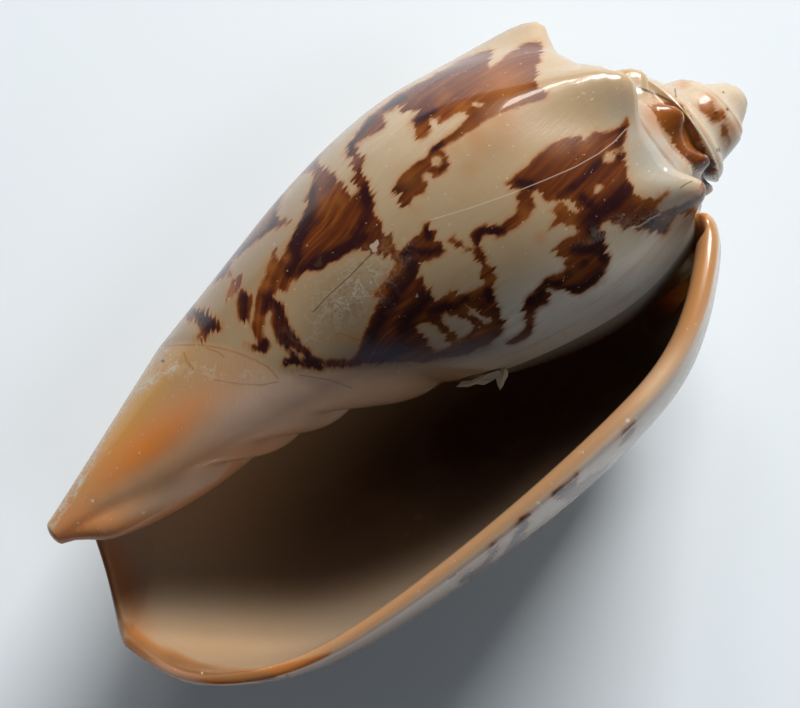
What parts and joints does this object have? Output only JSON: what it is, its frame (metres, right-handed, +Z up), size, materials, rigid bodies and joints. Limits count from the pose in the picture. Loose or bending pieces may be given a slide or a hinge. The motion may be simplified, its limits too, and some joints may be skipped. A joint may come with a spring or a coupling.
{
  "type": "volute shell",
  "caption": "Spiral sea-snail shell with a knobbed shoulder, a bulbous spire, a long open mouth, a folded pillar and a notched front end, resting on its back.",
  "frame": {"origin": "on the surface the shell rests on, below the middle of its outline seen from above", "axes": "+X from the front end with the notch to the tip of the spire, +Y from the outer lip to the pillar's side, +Z up, out of the mouth"},
  "size_m": [0.0902, 0.0492, 0.0406],
  "materials": {
    "shell": "glossy, cream with brown tent-like markings seen as one colour"
  },
  "bodies": {
    "root": {"shell": "shell"}
  },
  "joints": []
}
